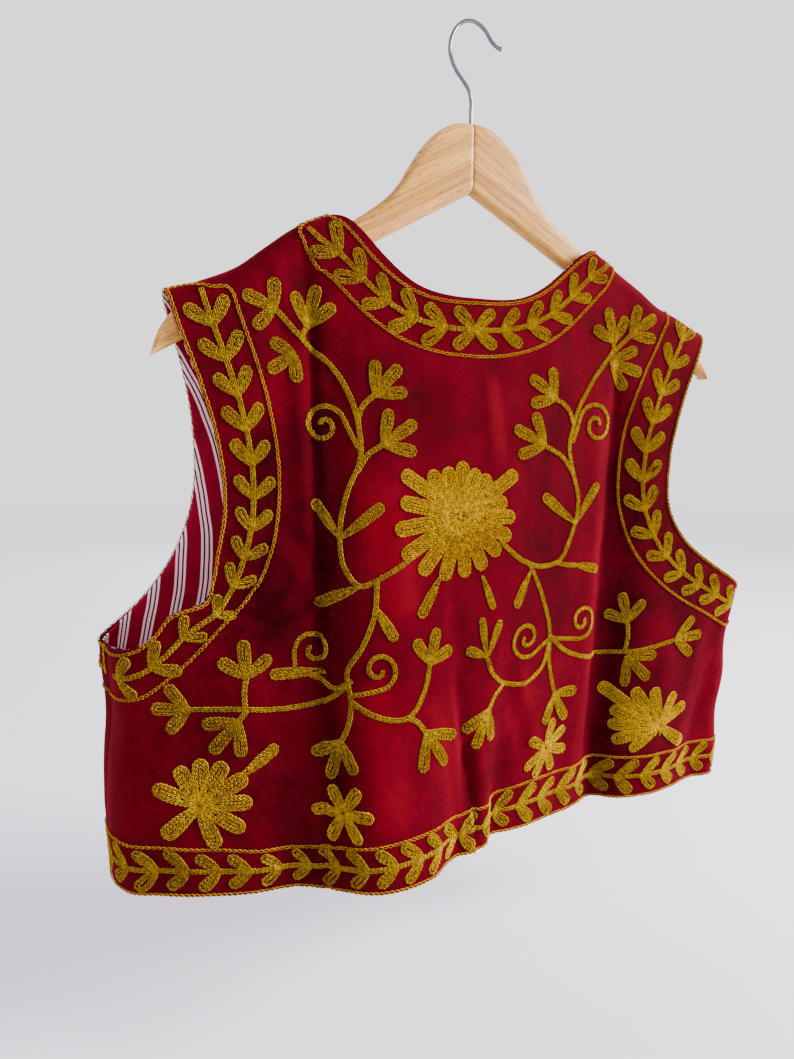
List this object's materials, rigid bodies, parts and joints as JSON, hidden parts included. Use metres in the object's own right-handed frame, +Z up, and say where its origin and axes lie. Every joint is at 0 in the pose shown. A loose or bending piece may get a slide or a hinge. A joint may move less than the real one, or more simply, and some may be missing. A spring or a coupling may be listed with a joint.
{
  "type": "embroidered waistcoat on a wooden hanger",
  "caption": "Sleeveless cropped red velvet waistcoat with gold chain-stitch flowers, lined, hanging by its shoulders on a wooden coat hanger.",
  "frame": {"origin": "underside of the top of the hanger's hook, where a wall hook or a rail carries it", "axes": "+Z up; -Y the way the waistcoat's back faces, so its fronts face +Y; +X to the right as seen from behind"},
  "size_m": [0.5372, 0.1242, 0.6013],
  "materials": {
    "velvet": "deep red cotton velvet with chain-stitch in old gold thread",
    "lining": "matt red cotton with groups of white and black stripes",
    "thread": "old-gold cotton thread in chain stitch, on the velvet",
    "wood": "pale beech, satin varnish",
    "steel": "bright plated wire"
  },
  "bodies": {
    "root": {"back": "velvet", "front_left": "velvet", "front_right": "velvet", "lining_back": "lining", "lining_front_left": "lining", "lining_front_right": "lining", "hanger_arm_left": "wood", "hanger_arm_right": "wood", "hanger_hook": "steel"}
  },
  "joints": []
}
